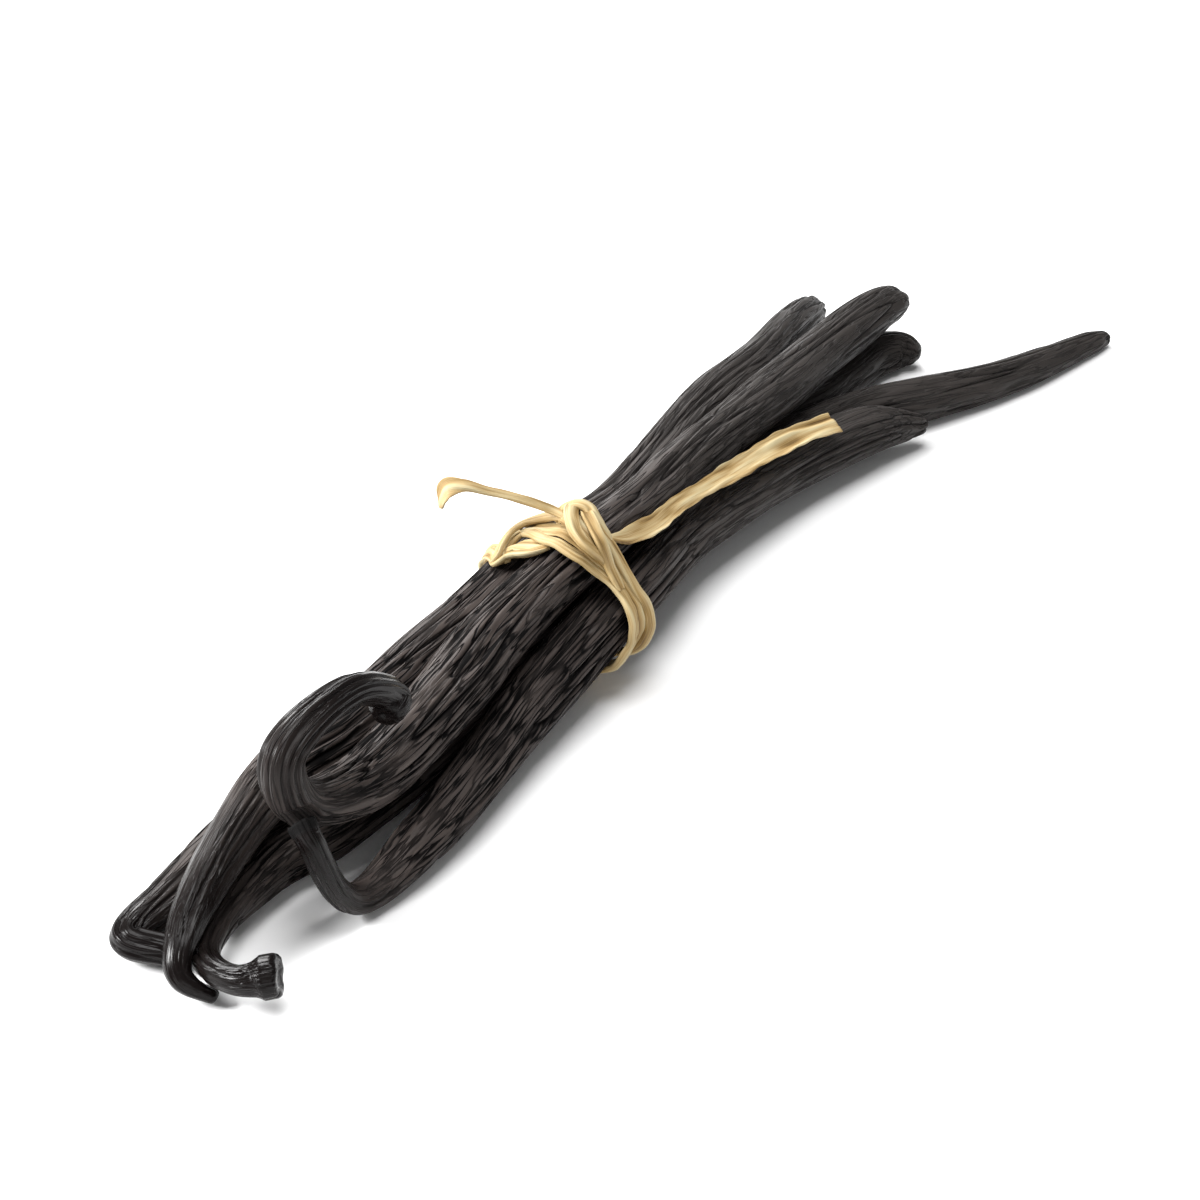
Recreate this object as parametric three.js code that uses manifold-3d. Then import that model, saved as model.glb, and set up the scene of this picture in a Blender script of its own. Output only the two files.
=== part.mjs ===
// Bundle of five cured vanilla pods, tied round the middle with one strand of raffia.
// Millimetres, +Z up, resting on z = 0.  +X runs along the bundle from the curled stem ends
// to the tapered tips, +Y to the left as seen from the stem ends.
// The origin is under the middle of the bundle's box.

import * as THREE from 'three';
import { mergeVertices } from 'three/addons/utils/BufferGeometryUtils.js';
import Module from 'manifold-3d';

const wasm = await Module();
wasm.setup();

// ---- driving dimensions ----

// The tie's own middle on the table, seen from the origin
const TIE_CENTRE = new THREE.Vector3(-16.2, -3.3, 0);

// Direction of the bundle where the tie holds it, turned this far from +X
const TIE_TURN = THREE.MathUtils.degToRad(7);

// Height of the middle of the tied bundle, which the raffia goes round
const TIE_HEIGHT = 8;

// Pods: height over width of the section, number and depth of the long ridges
const POD_FLATNESS = 0.87;
const POD_SIDES = 16;
const POD_RINGS = 56;
const RIDGE_COUNT = 8;
const RIDGE_DEPTH = 0.018;

// A turn of one radian draws as many rings to it as this many millimetres of straight pod
const BEND_EFFORT = 16;

// Slow swelling and pinching along a pod, as a share of its width
const SWELL = 0.03;
const SWELL_LENGTH = 23;
const SWELL_SHIFT = 2;

// Where two pods press on each other they flatten, and this much stays open between them
const CONTACT_GAP = 0.34;

// Stem end in profile: share of the half width, then millimetres in from the end.
// A scarred end is hollow inside its rounded rim, the others are blunt.
const SCAR_FLOOR = 0.5;
const SCAR_RIM = [[0.74, 0.1], [0.92, 0], [1, 0.35]];
const BLUNT_END = [[0, 0], [0.7, 0.1], [1, 0.6]];

// Rounded tip: its length as a share of the last half width, and its rings as shares of a
// quarter turn
const TIP_ROUND = 1.3;
const TIP_RINGS = [0.35, 0.65, 0.88, 1];

// Steps of the smooth line that a pod follows, and of every line when it is measured
const POD_STEPS = 240;
const LENGTH_STEPS = 600;

// Each station of a pod: x, y and z from the tie's middle, then half the pod's width.
// The first is the stem end, the last the tip.  The scar is the hollow in the stem end.
const PODS = [
  {
    name: 'pod_right',
    colour: 0x2b1a15,
    scar: 0.9,
    stations: [
      [-55.5, -11.5, 14.3, 2.4], [-54.9, -11.4, 13.2, 1.7], [-50.4, -11.6, 3.0, 1.7],
      [-37.7, -11.2, 3.0, 2.4], [-13.3, -7.1, 5.2, 3.0], [4.2, -5.2, 7.5, 3.2],
      [21.9, -1.5, 6.2, 3.2], [43.5, -1.1, 5.0, 3.2], [58.7, -3.4, 4.3, 2.9],
      [66.9, -6.8, 2.8, 1.1],
    ],
  },
  {
    name: 'pod_top',
    colour: 0x33201a,
    scar: 0.9,
    stations: [
      [-38.4, -7.2, 17.8, 2.0], [-36.7, -6.4, 17.8, 1.7], [-43.2, -6.6, 21.9, 1.7],
      [-54.3, -7.3, 20.3, 2.0], [-52.8, -7.2, 14.2, 2.4], [-43.1, -6.7, 10.4, 2.8],
      [-24.6, -4.2, 10.8, 3.6], [-14.3, -1.8, 11.0, 3.4], [-3.0, -0.8, 12.0, 3.2],
      [17.5, 1.4, 11.6, 2.9], [29.2, 3.4, 10.9, 2.9], [53.5, 6.2, 9.2, 3.1],
      [82.3, 8.9, 7.8, 2.5], [85.8, 8.4, 7.3, 1.6],
    ],
  },
  {
    name: 'pod_left',
    colour: 0x2e1c17,
    scar: 0,
    stations: [
      [-68.5, -9.6, 0.7, 0.7], [-69.9, -6.2, 2.8, 1.3], [-66.5, -4.0, 5.3, 1.8],
      [-45.8, 2.4, 8.4, 3.0], [-36.0, 2.3, 8.6, 3.1], [-14.4, 4.5, 8.6, 3.1],
      [3.1, 5.3, 10.1, 2.9], [20.5, 6.9, 8.4, 2.6], [43.8, 11.6, 8.2, 2.8],
      [61.2, 14.8, 6.4, 3.0], [79.1, 19.4, 3.9, 2.6], [84.5, 20.8, 3.0, 1.8],
    ],
  },
  {
    name: 'pod_under',
    colour: 0x261712,
    scar: 0.8,
    stations: [
      [-66.0, -14.8, 4.4, 2.4], [-68.1, -11.7, 3.7, 1.5], [-66.0, -6.0, 2.8, 1.5],
      [-49.9, -1.0, 2.5, 2.5], [-42.7, -2.2, 2.6, 2.7], [-12.6, -1.4, 3.5, 3.1],
      [3.8, -0.2, 4.1, 2.8], [25.9, 4.7, 3.2, 3.1], [45.9, 5.0, 2.8, 3.3],
      [64.1, 0.8, 3.0, 2.8], [71.9, -3.0, 2.5, 2.9], [84.4, -7.9, 1.8, 2.2],
      [100.0, -11.4, 1.2, 1.4], [103.4, -12.1, 1.0, 0.8],
    ],
  },
  {
    name: 'pod_far_left',
    colour: 0x2a1914,
    scar: 0,
    stations: [
      [-66.7, -2.1, 1.6, 1.2], [-68.1, 2.5, 2.1, 1.4], [-61.6, 2.9, 2.6, 2.3],
      [-35.9, 5.8, 2.8, 2.9], [-14.0, 6.4, 3.4, 2.9], [1.0, 5.4, 4.1, 2.9],
      [30.0, 11.6, 2.8, 3.0], [43.8, 11.8, 2.4, 3.0], [61.8, 8.7, 2.4, 3.0],
      [71.1, 8.3, 2.4, 2.8], [79.0, 8.1, 2.4, 2.8], [82.0, 6.0, 2.4, 2.3],
      [82.4, 3.7, 2.4, 1.1],
    ],
  },
];

// Raffia ribbon: corners of its section, rings of a whole turn, of a loose end and of a strand
const RAFFIA_SIDES = 8;
const TURN_RINGS = 48;
const TAIL_RINGS = 24;
const STRAND_RINGS = 10;

// The pods are felt for the girth this far to either side, in this many directions
const GIRTH_WINDOW = 3;
const GIRTH_DIRECTIONS = 72;
const LEAST_FACING = 0.05;

// Strands wound on the pods: degrees round the bundle from its right side over the top,
// millimetres along it from the tie's middle, then height of the ribbon's middle off the
// pods, width and thickness.  The two turns go all the way round.
const NEAR_TURN = [
  [0, 0.4, 0.85, 1.9, 1.0], [35, 0.6, 0.85, 1.9, 1.0], [60, -0.3, 0.85, 1.7, 1.0],
  [85, -0.5, 0.85, 1.7, 1.0], [108, 0.1, 1.0, 1.8, 1.0], [125, -1.0, 1.0, 2.0, 1.0],
  [140, -2.4, 0.85, 2.2, 1.0], [165, -2.2, 0.85, 2.2, 1.0], [200, -1.6, 0.85, 2.2, 1.0],
  [270, -0.8, 0.85, 2.2, 1.0], [335, -0.8, 0.85, 2.1, 1.0],
];
const FAR_TURN = [
  [0, 2.4, 0.85, 1.7, 1.0], [20, 1.8, 0.95, 1.9, 1.1], [40, 1.7, 1.2, 1.9, 1.1],
  [60, 1.2, 1.5, 1.9, 1.1], [85, 2.4, 1.5, 2.0, 1.1], [108, 3.3, 1.6, 2.1, 1.1],
  [125, 2.4, 1.5, 2.2, 1.1], [140, 0.2, 1.0, 2.2, 1.0], [165, -0.2, 0.85, 2.2, 1.0],
  [200, 0.5, 0.85, 2.2, 1.0], [270, 1.3, 0.85, 2.2, 1.0], [340, 2.4, 0.85, 1.9, 1.0],
];

// The knot: three strands laid across each other over a lump of hidden turns
const KNOT_STRANDS = [
  [
    [112, 7.6, 1.0, 1.9, 0.8], [100, 6.4, 2.2, 1.9, 0.9], [91, 3.9, 2.9, 1.9, 0.9],
    [84, 2.0, 2.8, 1.4, 0.9], [78, 1.0, 2.0, 1.2, 0.9], [68, 0.5, 1.3, 1.0, 0.8],
  ],
  [
    [90, 4.6, 2.3, 1.4, 0.9], [82, 2.9, 2.8, 1.6, 0.9], [73, 1.4, 2.9, 1.8, 0.9],
    [64, 0.7, 2.5, 1.9, 0.9], [55, 1.0, 1.9, 1.8, 0.9], [44, 1.6, 1.4, 1.7, 0.8],
  ],
  [
    [101, 7.6, 1.4, 1.2, 0.8], [89, 6.0, 2.2, 1.4, 0.9], [79, 4.6, 2.4, 1.4, 0.9],
    [69, 3.9, 2.1, 1.3, 0.9], [60, 3.6, 1.6, 1.2, 0.9], [52, 3.0, 1.1, 1.2, 0.8],
  ],
];
const KNOT_CENTRE = [2.4, -1.0, 16.7];
const KNOT_HALF_SIZE = [2.4, 2.4, 1.3];
const KNOT_SIDES = 10;
const KNOT_RINGS = 6;

// Loose ends of the raffia from the tie's middle: x, y, z, width and turn of the ribbon in
// degrees
const RIGHT_TAIL = [
  [2.6, -1.6, 17.0, 1.9, 40], [5.0, -3.1, 15.2, 1.3, 0], [7.3, -3.4, 14.3, 1.5, -20],
  [13.7, -3.1, 13.1, 2.2, -30], [20.3, -2.1, 12.0, 1.7, -25], [31.3, -1.8, 10.4, 2.2, -10],
  [38.5, -1.8, 9.8, 2.7, -5], [45.2, -2.3, 9.3, 2.4, 0], [50.8, -3.4, 9.0, 2.1, 5],
];
const LEFT_TAIL = [
  [2.0, -0.4, 17.2, 1.9, 0], [2.6, 2.1, 17.6, 1.4, 20], [1.6, 3.5, 18.4, 1.0, 40],
  [0.3, 5.2, 19.2, 0.9, 60], [-1.6, 7.9, 19.9, 1.0, 80], [-3.4, 10.2, 20.5, 1.3, 60],
  [-4.5, 11.8, 20.0, 2.2, 40], [-4.8, 12.4, 18.2, 3.0, 30],
];
const TAIL_THICKNESS = 0.75;

// ---- curves ----

const UP = new THREE.Vector3(0, 0, 1);
const TIE_AXIS = new THREE.Vector3(Math.cos(TIE_TURN), Math.sin(TIE_TURN), 0);
const TIE_SIDE = new THREE.Vector3(Math.sin(TIE_TURN), -Math.cos(TIE_TURN), 0);

// Smooth line through points, with further columns of numbers eased along it
function routeThrough(points, columns, steps) {
  const line = new THREE.CatmullRomCurve3(points, false, 'centripetal');
  line.arcLengthDivisions = LENGTH_STEPS;
  const columnCurves = columns.map((column) => new THREE.CatmullRomCurve3(
    column.map((value, i) => new THREE.Vector3(i, value, 0)), false, 'catmullrom', 0.5));
  const stops = [];
  for (let i = 0; i <= steps; i += 1) {
    const t = line.getUtoTmapping(i / steps);
    stops.push({
      point: line.getPoint(t),
      tangent: line.getTangent(t),
      extra: columnCurves.map((curve) => curve.getPoint(t).y),
    });
  }
  return { stops, length: line.getLength() };
}

// The same for rows of x, y, z from the tie's middle and further numbers
function routeOfRows(rows, steps) {
  const points = rows.map((row) => new THREE.Vector3(row[0], row[1], row[2]).add(TIE_CENTRE));
  return routeThrough(points, columnsFrom(rows, 3), steps);
}

function columnsFrom(rows, first) {
  const columns = [];
  for (let i = first; i < rows[0].length; i += 1) {
    columns.push(rows.map((row) => row[i]));
  }
  return columns;
}

// Level side vector at the middle stop, carried along the line to both ends without twisting
function carryFrames(stops) {
  const middle = Math.floor(stops.length / 2);
  stops[middle].side = new THREE.Vector3().crossVectors(stops[middle].tangent, UP).normalize();
  const carry = (from, to) => {
    const side = from.side.clone();
    side.addScaledVector(to.tangent, -side.dot(to.tangent));
    to.side = side.normalize();
  };
  for (let i = middle + 1; i < stops.length; i += 1) {
    carry(stops[i - 1], stops[i]);
  }
  for (let i = middle - 1; i >= 0; i -= 1) {
    carry(stops[i + 1], stops[i]);
  }
  for (const stop of stops) {
    stop.lift = new THREE.Vector3().crossVectors(stop.side, stop.tangent);
  }
}

// Values of a carried line at a share 0 to 1 of its length
function stopAt(stops, share) {
  const place = THREE.MathUtils.clamp(share, 0, 1) * (stops.length - 1);
  const low = Math.min(Math.floor(place), stops.length - 2);
  const mix = place - low;
  const a = stops[low];
  const b = stops[low + 1];
  return {
    point: a.point.clone().lerp(b.point, mix),
    side: a.side.clone().lerp(b.side, mix).normalize(),
    lift: a.lift.clone().lerp(b.lift, mix).normalize(),
    extra: a.extra.map((value, i) => THREE.MathUtils.lerp(value, b.extra[i], mix)),
  };
}

// ---- closed bodies ----

// Corners closer than this are one corner
const SAME_CORNER = 1e-5;

// Shared corners only, no folded triangles, faces out
function tidyBody(geometry) {
  geometry.deleteAttribute('normal');
  geometry.deleteAttribute('uv');
  const merged = mergeVertices(geometry, SAME_CORNER);
  const corners = merged.index.array;
  const kept = [];
  for (let i = 0; i < corners.length; i += 3) {
    const [a, b, c] = [corners[i], corners[i + 1], corners[i + 2]];
    if (a !== b && b !== c && c !== a) {
      kept.push(a, b, c);
    }
  }
  const position = merged.attributes.position;
  const p = [0, 1, 2].map(() => new THREE.Vector3());
  let volume = 0;
  for (let i = 0; i < kept.length; i += 3) {
    p.forEach((corner, k) => corner.fromBufferAttribute(position, kept[i + k]));
    volume += p[0].dot(p[1].clone().cross(p[2]));
  }
  if (volume < 0) {
    for (let i = 0; i < kept.length; i += 3) {
      [kept[i + 1], kept[i + 2]] = [kept[i + 2], kept[i + 1]];
    }
  }
  merged.setIndex(kept);
  return merged;
}

function toSolid(geometry) {
  return new wasm.Manifold(new wasm.Mesh({
    numProp: 3,
    vertProperties: new Float32Array(geometry.attributes.position.array),
    triVerts: new Uint32Array(geometry.index.array),
  }));
}

function fromSolid(solid) {
  const mesh = solid.getMesh();
  const geometry = new THREE.BufferGeometry();
  geometry.setAttribute('position', new THREE.BufferAttribute(mesh.vertProperties, 3));
  geometry.setIndex(new THREE.BufferAttribute(mesh.triVerts, 1));
  return geometry;
}

// ---- pods ----

// Shares of a pod's length for its rings, closer together where it bends sharply
function ringShares(stops) {
  const effort = [0];
  for (let i = 1; i < stops.length; i += 1) {
    const step = stops[i].point.distanceTo(stops[i - 1].point);
    const bend = stops[i].tangent.angleTo(stops[i - 1].tangent);
    effort.push(effort[i - 1] + step + BEND_EFFORT * bend);
  }
  const whole = effort[effort.length - 1];
  const shares = [];
  let at = 1;
  for (let i = 1; i <= POD_RINGS; i += 1) {
    const wanted = whole * i / POD_RINGS;
    while (at < effort.length - 1 && effort[at] < wanted) {
      at += 1;
    }
    const mix = (wanted - effort[at - 1]) / (effort[at] - effort[at - 1]);
    shares.push((at - 1 + mix) / (stops.length - 1));
  }
  return shares;
}

// Straight pod of unit half width: scarred or blunt stem end, rings, rounded tip
function podBlank(shares, length, scar, tipLength) {
  const stemEnd = scar > 0 ? [[0, scar], [SCAR_FLOOR, scar], ...SCAR_RIM] : BLUNT_END;
  const profile = stemEnd.map(([radius, along]) => new THREE.Vector2(radius, along));
  const bodyStart = profile[profile.length - 1].y;
  const bodyLength = length - tipLength - bodyStart;
  for (const share of shares) {
    profile.push(new THREE.Vector2(1, bodyStart + bodyLength * share));
  }
  for (const turn of TIP_RINGS) {
    const angle = turn * Math.PI / 2;
    const radius = turn === 1 ? 0 : Math.cos(angle);
    profile.push(new THREE.Vector2(radius, length - tipLength + tipLength * Math.sin(angle)));
  }
  return new THREE.LatheGeometry(profile, POD_SIDES);
}

const routes = PODS.map((pod) => {
  const route = routeOfRows(pod.stations, POD_STEPS);
  carryFrames(route.stops);
  return route;
});

// A corner that would pass the middle between its own pod and another is set back to it
function pressFlat(corner, centre, halfWidth, ownIndex) {
  routes.forEach((other, index) => {
    if (index === ownIndex) {
      return;
    }
    let nearest = null;
    let nearestDistance = Infinity;
    for (const stop of other.stops) {
      const distance = stop.point.distanceTo(centre);
      if (distance < nearestDistance) {
        nearestDistance = distance;
        nearest = stop;
      }
    }
    const share = halfWidth / (halfWidth + nearest.extra[0]);
    const away = nearest.point.clone().sub(centre).normalize();
    const reach = corner.clone().sub(centre).dot(away);
    const room = nearestDistance * share - CONTACT_GAP / 2;
    if (reach > room) {
      corner.addScaledVector(away, room - reach);
    }
  });
}

// Bends the straight pod along its route, ridges it, and flattens it on neighbours and floor
function podGeometry(pod, index) {
  const { stops, length } = routes[index];
  const lastHalfWidth = pod.stations[pod.stations.length - 1][3];
  const geometry = tidyBody(
    podBlank(ringShares(stops), length, pod.scar, lastHalfWidth * TIP_ROUND));
  const position = geometry.attributes.position;
  const corner = new THREE.Vector3();
  for (let i = 0; i < position.count; i += 1) {
    corner.fromBufferAttribute(position, i);
    const radius = Math.hypot(corner.x, corner.z);
    const angle = Math.atan2(corner.z, corner.x);
    const stop = stopAt(stops, corner.y / length);
    const swell = 1 + SWELL * Math.sin(2 * Math.PI * corner.y / SWELL_LENGTH + SWELL_SHIFT * index);
    const ridge = 1 + RIDGE_DEPTH * Math.cos(RIDGE_COUNT * angle);
    const halfWidth = stop.extra[0] * swell;
    const reach = radius * halfWidth * ridge;
    const placed = stop.point.clone();
    placed.addScaledVector(stop.side, reach * Math.cos(angle));
    placed.addScaledVector(stop.lift, reach * Math.sin(angle) * POD_FLATNESS);
    pressFlat(placed, stop.point, stop.extra[0], index);
    placed.z = Math.max(placed.z, 0);
    position.setXYZ(i, placed.x, placed.y, placed.z);
  }
  return geometry;
}

const podShapes = PODS.map(podGeometry);

// ---- raffia ----

// The turns start as a ring of unit radius with a round section of this radius
const RING_SECTION = 0.25;

// The middle of the tied bundle, and the way out from it at some degrees round
const tieMiddle = TIE_CENTRE.clone().addScaledVector(UP, TIE_HEIGHT);

function outwardAt(degrees) {
  const angle = THREE.MathUtils.degToRad(degrees);
  return TIE_SIDE.clone().multiplyScalar(Math.cos(angle)).addScaledVector(UP, Math.sin(angle));
}

// Point on a band stretched round the pods, at a height off them
function girthPoint(degrees, along, height) {
  const nearby = [];
  const corner = new THREE.Vector3();
  for (const shape of podShapes) {
    const position = shape.attributes.position;
    for (let i = 0; i < position.count; i += 1) {
      corner.fromBufferAttribute(position, i).sub(tieMiddle);
      if (Math.abs(corner.dot(TIE_AXIS) - along) < GIRTH_WINDOW) {
        nearby.push(corner.clone());
      }
    }
  }
  let reach = Infinity;
  for (let i = 0; i < GIRTH_DIRECTIONS; i += 1) {
    const turn = 360 * i / GIRTH_DIRECTIONS;
    const facing = Math.cos(THREE.MathUtils.degToRad(degrees - turn));
    if (facing > LEAST_FACING) {
      const direction = outwardAt(turn);
      const farthest = Math.max(...nearby.map((point) => point.dot(direction)));
      reach = Math.min(reach, (farthest + height) / facing);
    }
  }
  const point = tieMiddle.clone().addScaledVector(TIE_AXIS, along);
  return point.addScaledVector(outwardAt(degrees), reach);
}

// Sets a corner of a ribbon's section: across the ribbon, through it, and above the table
function ribbonCorner(stop, across, through) {
  const placed = stop.point.clone();
  placed.addScaledVector(stop.side, across);
  placed.addScaledVector(stop.lift, through);
  placed.z = Math.max(placed.z, 0);
  return placed;
}

// Numbers of a turn's rows, eased between the two on either side of some degrees
function rowAt(rows, degrees) {
  const next = rows.findIndex((row) => row[0] > degrees);
  const after = next < 0 ? rows[0] : rows[next];
  const before = next < 0 ? rows[rows.length - 1] : rows[next - 1];
  const span = (after[0] - before[0] + 360) % 360;
  const mix = THREE.MathUtils.smoothstep((degrees - before[0]) / span, 0, 1);
  return before.map((value, i) => THREE.MathUtils.lerp(value, after[i], mix));
}

// One turn of ribbon all the way round, flat on the pods
function turnSolid(rows) {
  const stops = [];
  for (let i = 0; i < TURN_RINGS; i += 1) {
    const degrees = 360 * i / TURN_RINGS;
    const [, along, height, width, thickness] = rowAt(rows, degrees);
    stops.push({ point: girthPoint(degrees, along, height), width, thickness });
  }
  stops.forEach((stop, i) => {
    const before = stops[(i + TURN_RINGS - 1) % TURN_RINGS].point;
    const after = stops[(i + 1) % TURN_RINGS].point;
    const tangent = after.clone().sub(before).normalize();
    stop.lift = new THREE.Vector3().crossVectors(tangent, TIE_AXIS).normalize();
    stop.side = new THREE.Vector3().crossVectors(stop.lift, tangent);
  });
  const blank = tidyBody(new THREE.TorusGeometry(1, RING_SECTION, RAFFIA_SIDES, TURN_RINGS));
  const position = blank.attributes.position;
  for (let i = 0; i < position.count; i += 1) {
    const x = position.getX(i);
    const y = position.getY(i);
    const share = Math.atan2(y, x) / (2 * Math.PI) + 1;
    const stop = stops[Math.round(share * TURN_RINGS) % TURN_RINGS];
    const across = position.getZ(i) / RING_SECTION * stop.width / 2;
    const out = (Math.hypot(x, y) - 1) / RING_SECTION * stop.thickness / 2;
    const placed = ribbonCorner(stop, across, out);
    position.setXYZ(i, placed.x, placed.y, placed.z);
  }
  return toSolid(tidyBody(blank));
}

// An open length of ribbon with square cut ends; each stop has its width, thickness and frame
function ribbonSolid(stops) {
  const steps = stops.length - 1;
  const blank = tidyBody(new THREE.CylinderGeometry(1, 1, steps, RAFFIA_SIDES, steps));
  const position = blank.attributes.position;
  for (let i = 0; i < position.count; i += 1) {
    const stop = stops[Math.round(position.getY(i) + steps / 2)];
    const across = position.getX(i) * stop.width / 2;
    const through = position.getZ(i) * stop.thickness / 2;
    const placed = ribbonCorner(stop, across, through);
    position.setXYZ(i, placed.x, placed.y, placed.z);
  }
  return toSolid(tidyBody(blank));
}

// A loose end, turning as it goes
function tailSolid(rows) {
  const { stops } = routeOfRows(rows, TAIL_RINGS);
  carryFrames(stops);
  for (const stop of stops) {
    const [width, degrees] = stop.extra;
    const turn = THREE.MathUtils.degToRad(degrees);
    const { side, lift } = stop;
    stop.width = width;
    stop.thickness = TAIL_THICKNESS;
    stop.side = side.clone().multiplyScalar(Math.cos(turn)).addScaledVector(lift, Math.sin(turn));
    stop.lift = lift.clone().multiplyScalar(Math.cos(turn)).addScaledVector(side, -Math.sin(turn));
  }
  return ribbonSolid(stops);
}

// A strand of the knot, flat on what it crosses
function strandSolid(rows) {
  const points = rows.map(([degrees, along, height]) => girthPoint(degrees, along, height));
  const { stops } = routeThrough(points, columnsFrom(rows, 0), STRAND_RINGS);
  for (const stop of stops) {
    stop.width = stop.extra[3];
    stop.thickness = stop.extra[4];
    const outward = outwardAt(stop.extra[0]);
    stop.side = new THREE.Vector3().crossVectors(stop.tangent, outward).normalize();
    stop.lift = new THREE.Vector3().crossVectors(stop.side, stop.tangent);
  }
  return ribbonSolid(stops);
}

// The knot's lump of hidden turns
function knotLump() {
  const lump = new THREE.SphereGeometry(1, KNOT_SIDES, KNOT_RINGS);
  lump.scale(...KNOT_HALF_SIZE);
  lump.rotateZ(TIE_TURN);
  lump.translate(...new THREE.Vector3(...KNOT_CENTRE).add(TIE_CENTRE).toArray());
  return toSolid(tidyBody(lump));
}

function tieGeometry() {
  const pieces = [turnSolid(FAR_TURN), knotLump(), ...KNOT_STRANDS.map(strandSolid),
    tailSolid(RIGHT_TAIL), tailSolid(LEFT_TAIL)];
  const fused = pieces.reduce((whole, piece) => whole.add(piece), turnSolid(NEAR_TURN));
  // Pockets closed in between the turns come apart as bodies of their own and are filled
  const skins = fused.decompose().sort((a, b) => b.volume() - a.volume());
  return tidyBody(fromSolid(skins[0]));
}

// ---- the bundle ----

const bundle = new THREE.Group();
bundle.name = 'vanilla_pod_bundle';

PODS.forEach((pod, index) => {
  const skin = new THREE.MeshStandardMaterial({ color: pod.colour, roughness: 0.5, metalness: 0 });
  const mesh = new THREE.Mesh(podShapes[index], skin);
  mesh.name = pod.name;
  bundle.add(mesh);
});

const raffia = new THREE.MeshStandardMaterial({ color: 0xd9c391, roughness: 0.75, metalness: 0 });
const tie = new THREE.Mesh(tieGeometry(), raffia);
tie.name = 'raffia_tie';
bundle.add(tie);

export default bundle;
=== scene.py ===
import math

import bpy
import numpy as np
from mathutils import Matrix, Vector, noise


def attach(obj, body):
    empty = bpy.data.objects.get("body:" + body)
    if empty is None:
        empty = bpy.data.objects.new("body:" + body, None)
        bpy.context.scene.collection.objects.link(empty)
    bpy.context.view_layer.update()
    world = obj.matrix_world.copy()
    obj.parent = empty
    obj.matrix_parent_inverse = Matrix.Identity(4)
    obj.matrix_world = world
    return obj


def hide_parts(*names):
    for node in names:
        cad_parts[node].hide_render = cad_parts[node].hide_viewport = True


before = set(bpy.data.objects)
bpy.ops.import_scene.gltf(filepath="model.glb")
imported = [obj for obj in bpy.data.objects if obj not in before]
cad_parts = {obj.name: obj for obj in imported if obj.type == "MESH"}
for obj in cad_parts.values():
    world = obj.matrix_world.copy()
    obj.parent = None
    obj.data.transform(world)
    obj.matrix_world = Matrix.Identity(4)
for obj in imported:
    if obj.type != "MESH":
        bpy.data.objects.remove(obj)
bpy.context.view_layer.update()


# ---- pods ------------------------------------------------------------------------------------
# Five cured vanilla pods: each is a thin leathery husk, shrunk into long folds and creases as
# it dried, oily to the touch, with a curled stem end.  They lie on each other, pressed flat
# where they touch, and only the raffia holds them.

# A millimetre in metres, and the distance in mm below which two places are the same.  The
# middle of the tie, in mm, is where the places along the pods are measured from.
MM = 0.001
ROUNDING = 1e-5
TIE_MIDDLE = np.array([-16.2, -3.3, 0.0])
ROUTE_STOPS = 1200
ROW_STEPS = 40

# The tube that every pod is shaped from.  Its rings lie closer where a pod bends, as if a bend
# of one radian were that many mm more of pod.
POD_SIDES = 192
POD_RINGS = 480
POD_RING_GROUPS = 24
POD_CAP_RINGS = 9
CAP_EDGE = 0.999
BEND_EFFORT = 9.0

# A pod is a little lower than wide, swells and thins in long waves, and has low ribs.
POD_FLATNESS = 0.87
SWELL = 0.03
SWELL_LENGTH = 23.0
RIB_COUNT = 8
RIB_DEPTH = 0.018
TIP_ROUND = 1.3
TIP_STEPS = 9

# Pressed pods keep a gap between them, in mm, and their flats end softly.  Of a neighbour's
# stops only some are looked at.
CONTACT_GAP = 0.34
CONTACT_SOFTNESS = 0.12
CONTACT_REACH = 5 * CONTACT_SOFTNESS
NEIGHBOUR_STEP = 4

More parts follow.
